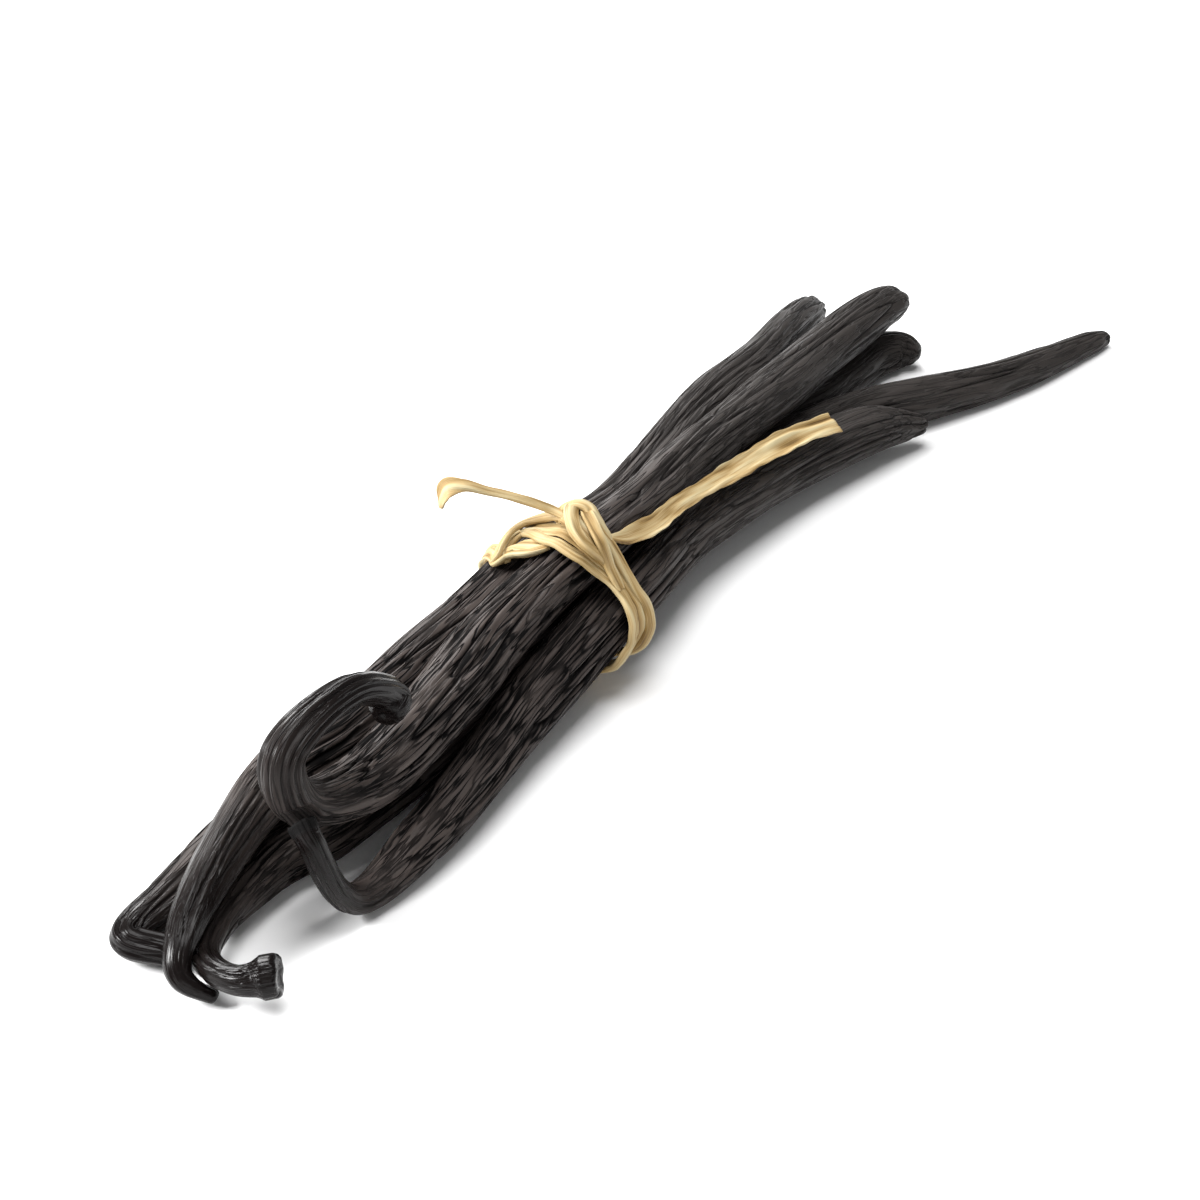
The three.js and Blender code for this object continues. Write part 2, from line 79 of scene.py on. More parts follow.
# The kind of stem end, how many mm of it stayed smooth and supple, the colour of the raised
# ridges, paler partly as their own colour and partly as a painted highlight, and rows from the
# stem end to
# the tip: x, y, z from the tie's middle and half the width, in mm.
PODS = {
    "pod_right": dict(end="scar", supple=22, ridge="#574d48", rows=[
        (-54.3, -8.9, 13.3, 1.6), (-54.6, -10.3, 11.8, 1.4), (-50.4, -11.6, 2.8, 1.5),
        (-37.7, -11.2, 3.0, 2.4), (-13.3, -7.1, 5.2, 3.0), (4.2, -5.2, 7.5, 3.2),
        (21.9, -1.5, 6.2, 3.2), (43.5, -1.1, 5.0, 3.2), (58.7, -3.4, 4.3, 2.9),
        (66.9, -6.8, 2.8, 1.1)]),
    "pod_top": dict(end="dimple", supple=38, ridge="#665c56", rows=[
        (-39.0, -7.4, 16.8, 2.3), (-36.9, -6.4, 17.6, 2.1), (-43.2, -6.6, 21.7, 1.8),
        (-54.3, -7.3, 20.3, 2.0), (-52.8, -7.2, 14.2, 2.4), (-43.1, -6.7, 10.4, 2.8),
        (-24.6, -4.2, 10.8, 3.6), (-14.3, -1.8, 11.0, 3.4), (-3.0, -0.8, 12.0, 3.2),
        (17.5, 1.4, 11.6, 2.9), (29.2, 3.4, 10.9, 2.9), (53.5, 6.2, 9.2, 3.1),
        (82.3, 8.9, 7.8, 2.5), (85.8, 8.4, 7.3, 1.6)]),
    "pod_left": dict(end="blunt", supple=36, ridge="#5a504b", rows=[
        (-68.5, -9.6, 0.7, 0.7), (-69.9, -6.2, 2.8, 1.3), (-66.5, -4.0, 5.3, 1.8),
        (-45.8, 2.4, 8.4, 3.0), (-36.0, 2.3, 8.6, 3.1), (-14.4, 4.5, 8.6, 3.1),
        (3.1, 5.3, 10.1, 2.9), (20.5, 6.9, 8.4, 2.6), (43.8, 11.6, 8.2, 2.8),
        (61.2, 14.8, 6.4, 3.0), (79.1, 19.4, 3.9, 2.6), (84.5, 20.8, 3.0, 1.8)]),
    "pod_under": dict(end="disc", supple=26, ridge="#514741", rows=[
        (-65.7, -15.4, 4.5, 2.4), (-68.1, -11.7, 3.7, 1.5), (-66.0, -6.0, 2.8, 1.5),
        (-49.9, -1.0, 2.5, 2.5), (-42.7, -2.2, 2.6, 2.7), (-12.6, -1.4, 3.5, 3.1),
        (3.8, -0.2, 4.1, 2.8), (25.9, 4.7, 3.2, 3.1), (45.9, 5.0, 2.8, 3.3),
        (64.1, 0.8, 3.0, 2.8), (71.9, -3.0, 2.5, 2.9), (84.4, -7.9, 1.8, 2.2),
        (100.0, -11.4, 1.2, 1.4), (103.4, -12.1, 1.0, 0.8)]),
    "pod_far_left": dict(end="blunt", supple=18, ridge="#554a44", rows=[
        (-66.5, -2.1, 1.8, 1.5), (-67.9, 2.3, 2.3, 1.8), (-61.4, 2.9, 2.7, 2.5),
        (-35.9, 5.8, 2.8, 2.9), (-14.0, 6.4, 3.4, 2.9), (1.0, 5.4, 4.1, 2.9),
        (30.0, 11.6, 2.8, 3.0), (43.8, 11.8, 2.4, 3.0), (61.8, 8.7, 2.4, 3.0),
        (71.1, 8.3, 2.4, 2.8), (79.0, 8.1, 2.4, 2.8), (82.0, 6.0, 2.4, 2.3),
        (82.4, 3.7, 2.4, 1.1)]),
}

# Stem ends from the middle of the end to its rim: share of the half width, and mm along the pod
# from its very end.  A scar is hollow where the pod broke off the vine, a dimple has healed.
STEM_ENDS = {
    "scar": [(0, 0.5), (0.3, 0.48), (0.5, 0.34), (0.66, 0.12), (0.78, 0.02), (0.88, 0),
             (0.96, 0.14), (1, 0.4)],
    "dimple": [(0, 0.35), (0.14, 0.28), (0.28, 0.12), (0.42, 0.08), (0.56, 0.16), (0.7, 0.36),
               (0.84, 0.76), (0.94, 1.25), (1, 2.1)],
    "disc": [(0, 0.4), (0.3, 0.35), (0.5, 0.16), (0.7, 0), (0.85, 0.03), (0.94, 0.16),
             (1, 0.5)],
    "blunt": [(0, 0), (0.3, 0.02), (0.6, 0.06), (0.8, 0.16), (0.94, 0.36), (1, 0.6)],
}

# The flared disc and the neck behind it, in mm; the neck tapers wider along the pod.
DISC_LENGTH = 1.8
DISC_NECK = 0.7
DISC_REACH = 8
NECK_HALF_WIDTH = 1.6
NECK_TAPER = 0.1

# The rim of a scar, dimple or disc is uneven: mm of its three long waves and seven short ones,
# the share of the width where it starts, and how far it reaches along the pod.
RIM_LONG_WAVES = 0.08
RIM_SHORT_WAVES = 0.03
RIM_START = 0.6
RIM_REACH = 1.5


def cubic(start, end, start_slope, end_slope, share):
    """Cubic from start to end with the two slopes."""
    return (start + start_slope * share
            + (3 * (end - start) - 2 * start_slope - end_slope) * share ** 2
            + (2 * (start - end) + start_slope + end_slope) * share ** 3)


def follow(rows, stops):
    """Even stops on a smooth line through rows: points, tangents, other columns, length."""
    rows = np.array(rows, dtype=float)
    padded = np.vstack([2 * rows[0] - rows[1], rows, 2 * rows[-1] - rows[-2]])
    shares = np.linspace(0, 1, ROW_STEPS + 1)[:-1, None]
    points, others = [], []
    for i in range(len(rows) - 1):
        p = padded[i:i + 4]
        gaps = np.linalg.norm(np.diff(p[:, :3], axis=0), axis=1) ** 0.5
        in_slope = ((p[1] - p[0]) / gaps[0] - (p[2] - p[0]) / (gaps[0] + gaps[1])
                    + (p[2] - p[1]) / gaps[1]) * gaps[1]
        out_slope = ((p[2] - p[1]) / gaps[1] - (p[3] - p[1]) / (gaps[1] + gaps[2])
                     + (p[3] - p[2]) / gaps[2]) * gaps[1]
        points.append(cubic(p[1], p[2], in_slope, out_slope, shares)[:, :3])
        others.append(cubic(p[1], p[2], (p[2] - p[0]) / 2, (p[3] - p[1]) / 2, shares)[:, 3:])
    points = np.vstack(points + [rows[-1:, :3]])
    others = np.vstack(others + [rows[-1:, 3:]])
    travelled = np.concatenate([[0], np.cumsum(np.linalg.norm(np.diff(points, axis=0), axis=1))])
    wanted = np.linspace(0, travelled[-1], stops)
    points = np.column_stack([np.interp(wanted, travelled, c) for c in points.T])
    others = np.column_stack([np.interp(wanted, travelled, c) for c in others.T])
    tangents = np.gradient(points, axis=0)
    tangents /= np.linalg.norm(tangents, axis=1, keepdims=True)
    return points, tangents, others, travelled[-1]


def carry_sides(tangents):
    """A level side vector at the middle, carried to both ends without twisting, and its lift."""
    sides = np.zeros_like(tangents)
    middle = len(tangents) // 2
    sides[middle] = np.cross((0, 0, 1), tangents[middle])
    sides[middle] /= np.linalg.norm(sides[middle])
    order = ([(i - 1, i) for i in range(middle + 1, len(tangents))]
             + [(i + 1, i) for i in range(middle - 1, -1, -1)])
    for source, target in order:
        side = sides[source] - tangents[target] * sides[source].dot(tangents[target])
        sides[target] = side / np.linalg.norm(side)
    return sides, np.cross(tangents, sides)


def values_at(places, stations, values):
    """Columns of values between the stations."""
    return np.column_stack([np.interp(places, stations, column) for column in values.T])


def read_places(piece):
    """The places of a mesh's corners as rows, in mm."""
    flat = np.empty(len(piece.data.vertices) * 3)
    piece.data.vertices.foreach_get("co", flat)
    return flat.reshape(-1, 3) / MM


def write_places(piece, places):
    """Moves a mesh's corners to the given rows, in mm."""
    piece.data.vertices.foreach_set("co", (places * MM).ravel())
    piece.data.update()


def use_only(piece):
    """Selects one piece alone."""
    bpy.ops.object.select_all(action='DESELECT')
    piece.select_set(True)
    bpy.context.view_layer.objects.active = piece


def straight_tube(name, sides, cuts, cap_rings):
    """A closed tube of 1 mm radius from x = 0 to 1 mm, cut into rings, its caps in rings too."""
    bpy.ops.object.select_all(action='DESELECT')
    bpy.ops.mesh.primitive_cylinder_add(
        vertices=sides, radius=MM, depth=MM, location=(0.5 * MM, 0, 0),
        rotation=(0, math.pi / 2, 0), end_fill_type='NGON')
    tube = bpy.context.object
    tube.name = name
    bpy.ops.object.transform_apply(location=True, rotation=True, scale=True)
    for number in cuts:
        bpy.ops.object.mode_set(mode='EDIT')
        bpy.ops.mesh.select_mode(type='EDGE')
        bpy.ops.mesh.select_all(action='DESELECT')
        bpy.ops.object.mode_set(mode='OBJECT')
        places = read_places(tube)
        for edge in tube.data.edges:
            a, b = edge.vertices
            edge.select = bool(abs(places[a, 0] - places[b, 0]) > ROUNDING)
        bpy.ops.object.mode_set(mode='EDIT')
        bpy.ops.mesh.subdivide(number_cuts=number - 1)
        bpy.ops.object.mode_set(mode='OBJECT')
    bpy.ops.object.mode_set(mode='EDIT')
    bpy.ops.mesh.select_mode(type='FACE')
    bpy.ops.mesh.select_all(action='DESELECT')
    bpy.ops.object.mode_set(mode='OBJECT')
    for face in tube.data.polygons:
        face.select = len(face.vertices) > 4
    bpy.ops.object.mode_set(mode='EDIT')
    for _ in range(cap_rings):
        bpy.ops.mesh.inset(thickness=MM / (cap_rings + 1), use_even_offset=False)
    bpy.ops.mesh.poke()
    bpy.ops.object.mode_set(mode='OBJECT')
    return tube


def copy_of(piece, name):
    """A copy of a piece with its own mesh."""
    copied = piece.copy()
    copied.data = piece.data.copy()
    copied.name = copied.data.name = name
    bpy.context.collection.objects.link(copied)
    return copied


def press_relief(piece, name, size, depth, direction, shift):
    """Pushes the skin in and out by clouds of that length, width and depth, all in mm."""
    pattern = bpy.data.textures.new(name, 'CLOUDS')
    pattern.noise_scale = 1
    pattern.noise_depth = 1
    pattern.noise_basis = 'ORIGINAL_PERLIN'
    grid = bpy.data.objects.new(name + "_grid", None)
    bpy.context.collection.objects.link(grid)
    grid.scale = Vector(size) * MM
    grid.location = (0, shift * MM, 0)
    bpy.context.view_layer.update()
    relief = piece.modifiers.new(name, 'DISPLACE')
    relief.texture = pattern
    relief.texture_coords = 'OBJECT'
    relief.texture_coords_object = grid
    relief.direction = direction
    relief.strength = depth * MM
    relief.mid_level = 0.5
    use_only(piece)
    bpy.ops.object.modifier_apply(modifier=name)
    bpy.data.objects.remove(grid)
    bpy.data.textures.remove(pattern)


def ring_profile(reach, knots):
    """Share of the half width and place along the pod, for a share of the way to a cap's rim."""
    knots = np.array(knots)
    share = np.linspace(0, 1, len(knots))
    return np.interp(reach, share, knots[:, 0]), np.interp(reach, share, knots[:, 1])


# Furrows lie where a noise passes through zero.  For the wide ones and the thin ones between
# them: mm from one to the next, and mm from the bottom of one to its edge.  The thin ones run a
# little shorter, and their noise starts elsewhere.
WIDE_SPACING = 1.5
WIDE_EDGE = 0.14
THIN_SPACING = 0.9
THIN_EDGE = 0.09
THIN_RUN = 1.1
THIN_START = 30

# A step round the pod in mm tells how steep the noise is there; it counts as at least so steep.
# Nearer to the pod's own axis than that, in mm, a way round it means nothing.
FURROW_STEP = 0.08
FURROW_SLOPE = 0.25
AXIS_CLEARANCE = 0.3

# Drift leads the furrows astray, in clouds that long and wide.  Its seed is fixed, so that it is
# the same in every run.  Patches make some furrows shallower: length and width in mm, usual
# share of their depth, contrast and least share.
DRIFT_LENGTH = 18
DRIFT_WIDTH = 4
DRIFT_SIDEWAYS = 0.5
DRIFT_LENGTHWISE = 0.1
DRIFT_SEED = 1
WIDE_PATCHES = (14, 2.5, 0.75, 1.4, 0.2)
THIN_PATCHES = (13, 2.2, 0.5, 1.8, 0)

# How far the noises of one pod are moved from those of the last, so that no two look alike.
DRIFT_SHIFT = 9
FURROW_SHIFT = 20
WIDE_PATCH_SHIFT = 5
THIN_PATCH_START = 70

# How far a dry husk swells between its furrows and sinks in them, and a supple one, in mm.
WIDE_SWELL = 0.26
THIN_SWELL = 0.17
WIDE_DEPTH = 0.28
THIN_DEPTH = 0.18
SUPPLE_SWELL = 0.12
SUPPLE_DEPTH = 0.08
# Thin furrows count that much in the crease mask, whose colour is painted almost black: painted
# shade.
THIN_DARKNESS = 0.9


def furrow(run, y, z, step, spacing, edge):
    """Depth of the furrows of that spacing at a place, 0 to 1, and how far the husk swells.

    The step round the pod tells how far off the zero of the noise is, so that all furrows are
    about as wide as their edge.
    """
    level = noise.noise((run, y / spacing, z / spacing))
    ahead = noise.noise((run, (y + step[0]) / spacing, (z + step[1]) / spacing))
    away = abs(level) / max(abs(ahead - level) / FURROW_STEP, FURROW_SLOPE / spacing)
    return math.exp(-(away / edge) ** 2), 1 - math.exp(-away / (2 * edge))


def patchy(x, y, z, shift, length, width, usual, contrast, least):
    """A share, at most 1, that noise makes larger in some patches than in others."""
    level = noise.noise((x / length + shift, y / width, z / width))
    return min(max(usual + contrast * level, least), 1)


def wrinkle(straight, cells, dried, order):
    """Height of the husk in mm and depth of its creases, 0 to 1, at each corner."""
    height = np.zeros(len(straight))
    crease = np.zeros(len(straight))
    for i, (x, y, z) in enumerate(straight):
        from_axis = max(math.hypot(y, z), AXIS_CLEARANCE)
        step = (-FURROW_STEP * z / from_axis, FURROW_STEP * y / from_axis)
        drift = noise.noise_vector((x / DRIFT_LENGTH + DRIFT_SHIFT * order, y / DRIFT_WIDTH,
                                    z / DRIFT_WIDTH))
        run = cells[i] + DRIFT_LENGTHWISE * drift.x
        y += DRIFT_SIDEWAYS * drift.y + FURROW_SHIFT * order
        z += DRIFT_SIDEWAYS * drift.z
        deep, swollen = furrow(run, y, z, step, WIDE_SPACING, WIDE_EDGE)
        thin, full = furrow(THIN_RUN * run + THIN_START, y, z, step, THIN_SPACING, THIN_EDGE)
        deep *= patchy(x, y, z, WIDE_PATCH_SHIFT * order, *WIDE_PATCHES)
        thin_share = patchy(x, y, z, THIN_PATCH_START, *THIN_PATCHES)
        thin *= thin_share
        full = 1 - thin_share * (1 - full)
        dry = dried[i]
        crease[i] = max(deep, THIN_DARKNESS * thin) * dry
        height[i] = (dry * (WIDE_SWELL * swollen + THIN_SWELL * full
                            - WIDE_DEPTH * deep - THIN_DEPTH * thin)
                     + (1 - dry) * (SUPPLE_SWELL * swollen - SUPPLE_DEPTH * deep))
    return height, crease


def along_pod(unit, reach, pod, route):
    """How far along the pod each corner of the tube lies, and its share of the half width."""
    points, tangents, _, length = route
    steps = np.linalg.norm(np.diff(points, axis=0), axis=1)
    bends = np.linalg.norm(np.diff(tangents, axis=0), axis=1)
    effort = np.concatenate([[0], np.cumsum(steps + BEND_EFFORT * bends)])
    rings = np.interp(unit[:, 0] * effort[-1], effort, np.linspace(0, length, len(points)))

    tip_length = pod["rows"][-1][3] * TIP_ROUND
    turns = np.linspace(math.pi / 2, 0, TIP_STEPS)
    tip_end = np.column_stack([np.cos(turns), length - tip_length * (1 - np.sin(turns))])
    stem_end = STEM_ENDS[pod["end"]]
    body_start = stem_end[-1][1]
    along = body_start + (length - tip_length - body_start) * rings / length
    radius = np.ones(len(unit))
    inside = reach < CAP_EDGE
    for cap, profile in ((unit[:, 0] < 0.5, stem_end), (unit[:, 0] > 0.5, tip_end)):
        share, depth = ring_profile(reach, profile)
        along = np.where(cap & inside, depth, along)
        radius = np.where(cap & inside, share, radius)
    return along, radius


def half_width(along, angle, pod, order, travelled, widths):
    """Half the pod's width, with its flared end, long swellings and low ribs, in mm."""
    width = np.interp(along, travelled, widths[:, 0])
    if pod["end"] == "disc":
        past = np.clip((along - DISC_LENGTH) / DISC_NECK, 0, 1)
        past = past * past * (3 - 2 * past)
        neck = np.minimum(width, NECK_HALF_WIDTH + NECK_TAPER * along)
        flared = pod["rows"][0][3] * (1 - past) + neck * past
        width = np.where(along < DISC_REACH, flared, width)
    width = width * (1 + SWELL * np.sin(2 * np.pi * along / SWELL_LENGTH + 2 * order))
    return width * (1 + RIB_DEPTH * np.cos(RIB_COUNT * angle))


# Relief of the smooth pod: length, width and height of its clouds and its depth, in mm, and
# how far it is moved from one pod to the next.
POD_RELIEF = (("folds", (30, 2.8, 2.8), 1.3), ("fine_folds", (6, 0.5, 0.5), 0.1))
POD_SHIFT = 37

# By the share of the supple length: how dry the husk is, and how many mm its creases run.  By
# mm beyond the tie: how much of that dryness is left, and how much painted grey sheen it gets.  By
# mm from the stem end: how much of the folds shows, and how much painted shade darkens the hollow
# end of a scar.
DRY_FROM_STEM = ([0, 0.33, 0.7, 1], [0.1, 0.15, 0.5, 1])
CREASE_LENGTH = ([0, 0.45, 1], [40, 34, 26])
DRY_PAST_TIE = ([2, 22, 70], [1, 0.6, 0.45])
SHEEN_PAST_TIE = ([2, 40], [0, 1])
FOLDS_FROM_STEM = ([1, 5, 14], [0.15, 0.4, 1])
SCAR_EDGE = ([0.9, 1.6], [0.9, 0])


def straight_pod(name, blank, pod, order, route):
    """The pod as if uncurled, wrinkled: its piece, corners, smooth corners, and skin values."""
    points, _, widths, length = route
    travelled = np.linspace(0, length, len(points))
    piece = copy_of(blank, name)
    unit = read_places(piece)
    reach = np.hypot(unit[:, 1], unit[:, 2])
    angle = np.arctan2(unit[:, 2], unit[:, 1])
    along, radius = along_pod(unit, reach, pod, route)
    width = half_width(along, angle, pod, order, travelled, widths)
    if pod["end"] != "blunt":
        uneven = RIM_LONG_WAVES * np.sin(3 * angle + order) + RIM_SHORT_WAVES * np.sin(7 * angle)
        along = along + uneven * (radius > RIM_START) * (along < RIM_REACH)
    straight = np.column_stack([along, width * radius * np.cos(angle),
                                width * radius * np.sin(angle)])
    write_places(piece, straight)
    for kind, size, depth in POD_RELIEF:
        press_relief(piece, kind, size, depth, 'NORMAL', POD_SHIFT * order)

    from_tie = np.interp(along, travelled, points[:, 0])
    dried = np.interp(along / pod["supple"], *DRY_FROM_STEM) * np.interp(from_tie, *DRY_PAST_TIE)
    cell_length = np.interp(travelled / pod["supple"], *CREASE_LENGTH)
    steps = np.linalg.norm(np.diff(points, axis=0), axis=1)
    cells = np.concatenate([[0], np.cumsum(steps / cell_length[1:])])
    height, crease = wrinkle(straight, np.interp(along, travelled, cells), dried, order)
    folds = read_places(piece) - straight
    made = straight + folds * np.interp(along, *FOLDS_FROM_STEM)[:, None]
    from_axis = np.maximum(np.hypot(made[:, 1], made[:, 2]), AXIS_CLEARANCE)
    outward = made[:, 1:] / from_axis[:, None]
    made[:, 1:] += outward * (height * radius)[:, None]
    # The hollow end of a scar counts as a crease, so that it is painted almost black: painted
    # shade in the hollow.
    if pod["end"] == "scar":
        crease = np.maximum(crease, np.interp(along, *SCAR_EDGE))
    # The share of painted grey sheen, which grows beyond the tie.
    beyond = np.interp(from_tie, *SHEEN_PAST_TIE)
    return piece, made, straight, np.column_stack([crease, dried, height]), beyond


def lay_along(piece, made, own, routes):
    """Curls the straight pod along its route and presses it flat on the others and the floor."""
    points, tangents, widths, length = routes[own]
    sides, lifts = carry_sides(tangents)
    travelled = np.linspace(0, length, len(points))
    along = made[:, 0]
    centre = values_at(along, travelled, points)
    centre += values_at(along, travelled, tangents) * (along - np.clip(along, 0, length))[:, None]
    placed = (centre + values_at(along, travelled, sides) * made[:, 1:2]
              + values_at(along, travelled, lifts) * made[:, 2:3] * POD_FLATNESS)
    for other, (other_points, _, other_widths, _) in routes.items():
        if other == own:
            continue
        gaps = points[:, None] - other_points[None, ::NEIGHBOUR_STEP]
        apart = np.linalg.norm(gaps, axis=2)
        nearest = apart.argmin(axis=1) * NEIGHBOUR_STEP
        away = other_points[nearest] - points
        distance = np.linalg.norm(away, axis=1)
        away /= distance[:, None]
        share = widths[:, 0] / (widths[:, 0] + other_widths[nearest, 0])
        way = values_at(along, travelled, away)
        limit = np.interp(along, travelled, distance * share - CONTACT_GAP / 2)
        past = np.einsum('ij,ij->i', placed - centre, way)
        held = limit - CONTACT_SOFTNESS * np.logaddexp(0, (limit - past) / CONTACT_SOFTNESS)
        pressed = past > limit - CONTACT_REACH
        placed += way * np.where(pressed, held - past, 0)[:, None]
    placed += TIE_MIDDLE
    placed[:, 2] = np.maximum(placed[:, 2], 0)
    write_places(piece, placed)


def keep_attribute(piece, name, kind, values):
    """Stores a value for each corner of the mesh, for its material."""
    field = piece.data.attributes.new(name, kind, 'POINT')
    field.data.foreach_set("vector" if kind == 'FLOAT_VECTOR' else "value",
                           np.ascontiguousarray(values, dtype=np.float32).ravel())


def linear(code):
    """Linear colour of an sRGB hex value."""
    channels = [int(code[i:i + 2], 16) / 255 for i in (1, 3, 5)]
    return [c / 12.92 if c <= 0.04045 else ((c + 0.055) / 1.055) ** 2.4 for c in channels] + [1]


def add_node(tree, kind, settings=None, inputs=None, stops=()):
    """Adds a node: its settings, a value or a link for each input, and a ramp's colours."""
    added = tree.nodes.new(kind)
    for name, value in (settings or {}).items():
        setattr(added, name, value)
    for name, value in (inputs or {}).items():
        if isinstance(value, bpy.types.NodeSocket):
            tree.links.new(value, added.inputs[name])
        else:
            added.inputs[name].default_value = value
    if stops:
        ramp = added.color_ramp.elements
        ramp.remove(ramp[1])
        ramp[0].position, ramp[0].color = stops[0][0], linear(stops[0][1])
        for position, code in stops[1:]:
            ramp.new(position).color = linear(code)
    return added.outputs


# How much the finest clouds of a pattern show.
PATTERN_ROUGHNESS = 0.55


def lengthwise_patterns(tree, place, patterns):
    """Cloudy patterns along a piece, from their length and width in mm, detail and raggedness."""
    made = []
    for length, width, detail, raggedness in patterns:
        scaled = add_node(tree, 'ShaderNodeMapping', {}, {
            'Vector': place, 'Scale': (1 / length, 1 / width, 1 / width)})['Vector']
        made.append(add_node(tree, 'ShaderNodeTexNoise', {}, {
            'Vector': scaled, 'Scale': 1.0, 'Detail': detail,
            'Roughness': PATTERN_ROUGHNESS, 'Distortion': raggedness})['Fac'])
    return made


# Length and width in mm, detail and raggedness of the patches, the fibres, the hairlines, and
# the places where hairlines are many.  Real fibres are finer than 0.4 mm and wouldn't show.
HUSK_PATTERNS = ((14, 3.5, 3, 0.4), (6, 0.4, 3, 0.5), (8, 0.5, 1, 0.3), (9, 2.0, 2, 0.2))


# Cured vanilla husk, sweated and air dried: almost black brown, with the soft gloss of the oil
# that keeps it supple.  Its raised ridges are paler, partly their own colour and partly a painted
# highlight, and its creases are painted pitch black as painted shade.
def husk_material(name, ridge_colour):
    material = bpy.data.materials.new(name)
    material.use_nodes = True
    tree = material.node_tree
    tree.nodes.clear()
    place = add_node(tree, 'ShaderNodeAttribute', {'attribute_name': "pod_place"})['Vector']
    skin = add_node(tree, 'ShaderNodeAttribute', {'attribute_name': "husk_skin"})['Vector']
    beyond = add_node(tree, 'ShaderNodeAttribute', {'attribute_name': "beyond_tie"})['Fac']
    crease, dried, height = add_node(tree, 'ShaderNodeSeparateXYZ', {}, {'Vector': skin})
    patches, fibres, hairs, share = lengthwise_patterns(tree, place, HUSK_PATTERNS)

    # Hairlines lie where their pattern passes through its middle value, on dry husk only.
    middle = add_node(tree, 'ShaderNodeMath', {'operation': 'SUBTRACT'}, {
        0: hairs, 1: 0.5})['Value']
    middle = add_node(tree, 'ShaderNodeMath', {'operation': 'ABSOLUTE'}, {0: middle})['Value']
    lines = add_node(tree, 'ShaderNodeMapRange', {}, {
        'Value': middle, 'From Min': 0.03, 'From Max': 0.08, 'To Min': 1, 'To Max': 0})['Result']
    share = add_node(tree, 'ShaderNodeMapRange', {}, {
        'Value': share, 'From Min': 0.34, 'From Max': 0.5, 'To Min': 0.4, 'To Max': 1})['Result']
    hairline = add_node(tree, 'ShaderNodeMath', {'operation': 'MULTIPLY'}, {
        0: lines, 1: share})['Value']
    hairline = add_node(tree, 'ShaderNodeMath', {'operation': 'MULTIPLY'}, {
        0: hairline, 1: dried})['Value']
    # Creases and hairlines are painted almost black below: painted shade down in them.  The same
    # mask makes them matt.
    sunk = add_node(tree, 'ShaderNodeMapRange', {}, {
        'Value': crease, 'From Min': 0.25, 'From Max': 0.7, 'To Min': 0, 'To Max': 1})['Result']
    crease_shade = add_node(tree, 'ShaderNodeMath', {'operation': 'MAXIMUM'}, {
        0: hairline, 1: sunk})['Value']

    # Brown to grey by height and fibres: raised ridges paler, partly their own colour and partly a
    # painted highlight, and low places darker as painted shade.  Dulled in patches, and painted
    # with a grey sheen beyond the tie.  Almost black at the supple stem end, partly its own darker
    # colour and partly painted shade, and painted almost black down in the creases as painted
    # shade.
    raised = add_node(tree, 'ShaderNodeMapRange', {}, {
        'Value': height, 'From Min': -0.15, 'From Max': 0.35,
        'To Min': -0.08, 'To Max': 0.36})['Result']
    shade_and_tone = add_node(tree, 'ShaderNodeMath', {'operation': 'MULTIPLY_ADD'}, {
        0: fibres, 1: 0.45, 2: raised})['Value']
    colour = add_node(tree, 'ShaderNodeValToRGB', {}, {'Fac': shade_and_tone}, [
        (0.1, "#1c1816"), (0.35, "#2d2826"), (0.6, "#403936"), (0.8, ridge_colour)])['Color']
    rubbed = add_node(tree, 'ShaderNodeValToRGB', {}, {'Fac': patches}, [
        (0.35, "#a09a97"), (0.65, "#ffffff")])['Color']
    colour = add_node(tree, 'ShaderNodeMixRGB', {'blend_type': 'MULTIPLY'}, {
        'Fac': 0.55, 'Color1': colour, 'Color2': rubbed})['Color']
    # A painted grey sheen beyond the tie, the grey of a grazing reflection.
    far_sheen = add_node(tree, 'ShaderNodeMath', {'operation': 'MULTIPLY'}, {
        0: beyond, 1: 0.7})['Value']
    # The supple stem end is darkened almost black: partly its own darker colour, partly painted
    # shade.
    supple = add_node(tree, 'ShaderNodeMapRange', {}, {
        'Value': dried, 'From Min': 0.12, 'From Max': 0.6, 'To Min': 0.92, 'To Max': 0})['Result']
    for amount, over in ((far_sheen, "#3a3735"), (supple, "#080505"), (crease_shade, "#020101")):
        colour = add_node(tree, 'ShaderNodeMixRGB', {'blend_type': 'MIX'}, {
            'Fac': amount, 'Color1': colour, 'Color2': linear(over)})['Color']

    # Oily and smooth at the stem end, satin where it is dry, matt in the creases.
    dull = add_node(tree, 'ShaderNodeMapRange', {}, {
        'Value': patches, 'From Min': 0.3, 'From Max': 0.7, 'To Min': 0, 'To Max': 0.12})['Result']
    satin = add_node(tree, 'ShaderNodeMapRange', {}, {
        'Value': dried, 'From Min': 0.2, 'From Max': 0.6,
        'To Min': 0.16, 'To Max': 0.42})['Result']
    rough = add_node(tree, 'ShaderNodeMath', {'operation': 'ADD'}, {0: dull, 1: satin})['Value']
    rough = add_node(tree, 'ShaderNodeMath', {'operation': 'MULTIPLY_ADD'}, {
        0: crease_shade, 1: 0.5, 2: rough})['Value']
    hollow = add_node(tree, 'ShaderNodeBump', {'invert': True}, {
        'Strength': 1.0, 'Distance': 0.3 * MM, 'Height': hairline})['Normal']
    grain = add_node(tree, 'ShaderNodeBump', {}, {
        'Strength': 0.5, 'Distance': 0.1 * MM, 'Height': fibres, 'Normal': hollow})['Normal']
    husk = add_node(tree, 'ShaderNodeBsdfPrincipled', {}, {
        'Base Color': colour, 'Roughness': rough, 'Normal': grain, 'IOR': 1.46,
        'Specular IOR Level': 0.15})['BSDF']
    add_node(tree, 'ShaderNodeOutputMaterial', {}, {'Surface': husk})
    return material


